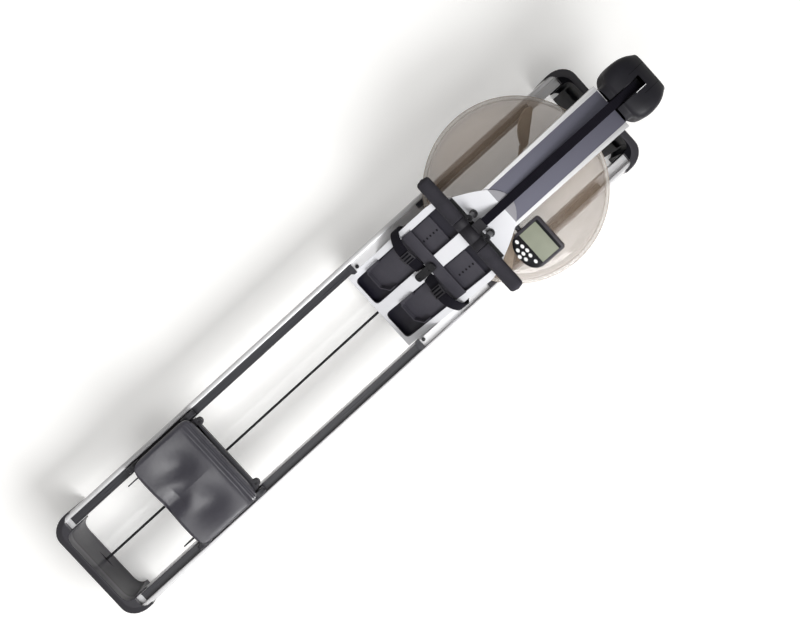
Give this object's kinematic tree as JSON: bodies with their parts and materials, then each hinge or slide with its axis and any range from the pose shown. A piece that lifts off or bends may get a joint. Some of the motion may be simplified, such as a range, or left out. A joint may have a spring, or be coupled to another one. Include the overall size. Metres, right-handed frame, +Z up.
{
  "type": "water rowing machine",
  "caption": "Rowing machine with aluminium rails, rolling seat, sloping footboard, strap handle, round water tank under an arm, and a tilting monitor",
  "frame": {"origin": "middle of the overall box, on the floor", "axes": "+X along the rails towards the tank end, +Y to the rower's left, +Z up"},
  "size_m": [2.124, 0.536, 0.522],
  "materials": {
    "aluminium": "brushed, clear anodised",
    "black_plastic": "fine moulded texture",
    "track_plastic": "smooth, worn where the rollers run",
    "rubber": "matt",
    "white_paint": "powder coat",
    "foot_plate": "matt, finely textured",
    "webbing": "woven",
    "panel": "metallic, satin",
    "smoke": "clear, tinted",
    "paddle": "satin",
    "steel": "machined",
    "seat_skin": "glossy, self-skinned foam",
    "foam": "fine-grained foam rubber",
    "screen": "satin window",
    "white_plastic": "satin"
  },
  "bodies": {
    "frame": {"left_rail": "aluminium", "right_rail": "aluminium", "left_track": "track_plastic", "right_track": "track_plastic", "rear_end_cap": "black_plastic", "front_end_cap": "black_plastic", "rear_floor_pad": "rubber", "front_floor_pad": "rubber", "left_tank_cradle": "black_plastic", "right_tank_cradle": "black_plastic", "footboard": "white_paint", "left_foot_tray": "black_plastic", "right_foot_tray": "black_plastic", "foot_bar": "black_plastic", "strap_clip": "black_plastic", "left_foot_strap": "webbing", "right_foot_strap": "webbing", "left_ladder_buckle": "black_plastic", "right_ladder_buckle": "black_plastic", "left_board_bolt": "steel", "right_board_bolt": "steel", "handle_rest": "rubber", "left_rest_post": "black_plastic", "right_rest_post": "black_plastic", "arm_beam": "aluminium", "arm_panel": "panel", "arm_upright": "black_plastic", "pulley_housing": "black_plastic", "pulley_axle": "steel", "tank_base": "smoke", "tank_cover": "smoke", "recoil_cord": "webbing", "monitor_bracket": "black_plastic"},
    "seat": {"seat_pad": "seat_skin", "seat_frame": "black_plastic"},
    "rear_left_wheel": {"rear_left_roller": "track_plastic"},
    "front_left_wheel": {"front_left_roller": "track_plastic"},
    "rear_right_wheel": {"rear_right_roller": "track_plastic"},
    "front_right_wheel": {"front_right_roller": "track_plastic"},
    "handle": {"handle_bar": "black_plastic", "left_grip": "foam", "right_grip": "foam", "strap_end_clip": "black_plastic", "pull_strap": "webbing"},
    "pulley": {"front_pulley": "black_plastic"},
    "spool": {"strap_spool": "black_plastic"},
    "water_paddle": {"paddle": "paddle"},
    "left_foot": {"left_foot_plate": "foot_plate"},
    "right_foot": {"right_foot_plate": "foot_plate"},
    "monitor": {"monitor_case": "black_plastic", "monitor_screen": "screen"},
    "button_1": {"monitor_button_1": "white_plastic"},
    "button_2": {"monitor_button_2": "white_plastic"},
    "button_3": {"monitor_button_3": "white_plastic"},
    "button_4": {"monitor_button_4": "white_plastic"},
    "button_5": {"monitor_button_5": "white_plastic"},
    "button_6": {"monitor_button_6": "white_plastic"},
    "button_7": {"monitor_button_7": "white_plastic"},
    "button_8": {"monitor_button_8": "white_plastic"},
    "button_9": {"monitor_button_9": "white_plastic"}
  },
  "joints": [
    {"name": "seat_slide", "type": "slide", "parent": "frame", "child": "seat", "axis": [1, 0, 0], "range_m": [-0.165, 0.575]},
    {"name": "rear_left_roller_spin", "type": "hinge", "parent": "seat", "child": "rear_left_wheel", "pos_m": [-0.752, 0.15095, 0.2396], "axis": [0, 1, 0], "continuous": true},
    {"name": "front_left_roller_spin", "type": "hinge", "parent": "seat", "child": "front_left_wheel", "pos_m": [-0.54, 0.15095, 0.2396], "axis": [0, 1, 0], "continuous": true},
    {"name": "rear_right_roller_spin", "type": "hinge", "parent": "seat", "child": "rear_right_wheel", "pos_m": [-0.752, -0.15095, 0.2396], "axis": [0, 1, 0], "continuous": true},
    {"name": "front_right_roller_spin", "type": "hinge", "parent": "seat", "child": "front_right_wheel", "pos_m": [-0.54, -0.15095, 0.2396], "axis": [0, 1, 0], "continuous": true},
    {"name": "handle_pull", "type": "slide", "parent": "frame", "child": "handle", "axis": [-1, 0, 0], "range_m": [0, 1.2], "stiffness_N_per_m": 12, "springref_m": -0.4, "deforming": ["pull_strap"]},
    {"name": "front_pulley_spin", "type": "hinge", "parent": "frame", "child": "pulley", "pos_m": [0.9893, 0, 0.4724], "axis": [0, 1, 0], "continuous": true},
    {"name": "spool_spin", "type": "hinge", "parent": "frame", "child": "spool", "pos_m": [0.6, 0, 0.415], "axis": [0, 0, 1], "continuous": true},
    {"name": "paddle_spin", "type": "hinge", "parent": "frame", "child": "water_paddle", "pos_m": [0.6, 0, 0.292], "axis": [0, 0, 1], "continuous": true},
    {"name": "left_foot_slide", "type": "slide", "parent": "frame", "child": "left_foot", "axis": [0.7071, 0, 0.7071], "range_m": [-0.048, 0.008]},
    {"name": "right_foot_slide", "type": "slide", "parent": "frame", "child": "right_foot", "axis": [0.7071, 0, 0.7071], "range_m": [-0.064, 0]},
    {"name": "monitor_tilt", "type": "hinge", "parent": "frame", "child": "monitor", "pos_m": [0.51265, -0.0815, 0.4488], "axis": [0, 1, 0], "range_deg": [-20, 30]},
    {"name": "button_1_press", "type": "slide", "parent": "monitor", "child": "button_1", "axis": [0.2085, 0, -0.978], "range_m": [0, 0.001], "stiffness_N_per_m": 150, "springref_m": -0.0005},
    {"name": "button_2_press", "type": "slide", "parent": "monitor", "child": "button_2", "axis": [0.2085, 0, -0.978], "range_m": [0, 0.001], "stiffness_N_per_m": 150, "springref_m": -0.0005},
    {"name": "button_3_press", "type": "slide", "parent": "monitor", "child": "button_3", "axis": [0.2085, 0, -0.978], "range_m": [0, 0.001], "stiffness_N_per_m": 150, "springref_m": -0.0005},
    {"name": "button_4_press", "type": "slide", "parent": "monitor", "child": "button_4", "axis": [0.2085, 0, -0.978], "range_m": [0, 0.001], "stiffness_N_per_m": 150, "springref_m": -0.0005},
    {"name": "button_5_press", "type": "slide", "parent": "monitor", "child": "button_5", "axis": [0.2085, 0, -0.978], "range_m": [0, 0.001], "stiffness_N_per_m": 150, "springref_m": -0.0005},
    {"name": "button_6_press", "type": "slide", "parent": "monitor", "child": "button_6", "axis": [0.2085, 0, -0.978], "range_m": [0, 0.001], "stiffness_N_per_m": 150, "springref_m": -0.0005},
    {"name": "button_7_press", "type": "slide", "parent": "monitor", "child": "button_7", "axis": [0.2085, 0, -0.978], "range_m": [0, 0.001], "stiffness_N_per_m": 150, "springref_m": -0.0005},
    {"name": "button_8_press", "type": "slide", "parent": "monitor", "child": "button_8", "axis": [0.2085, 0, -0.978], "range_m": [0, 0.001], "stiffness_N_per_m": 150, "springref_m": -0.0005},
    {"name": "button_9_press", "type": "slide", "parent": "monitor", "child": "button_9", "axis": [0.2085, 0, -0.978], "range_m": [0, 0.001], "stiffness_N_per_m": 150, "springref_m": -0.0005}
  ],
  "couplings": [
    {"joint": "rear_left_roller_spin", "follows": "seat_slide", "rad_per_m": 41.667},
    {"joint": "front_left_roller_spin", "follows": "seat_slide", "rad_per_m": 41.667},
    {"joint": "rear_right_roller_spin", "follows": "seat_slide", "rad_per_m": 41.667},
    {"joint": "front_right_roller_spin", "follows": "seat_slide", "rad_per_m": 41.667},
    {"joint": "front_pulley_spin", "follows": "handle_pull", "rad_per_m": -31.746},
    {"joint": "spool_spin", "follows": "handle_pull", "rad_per_m": -42.553}
  ]
}
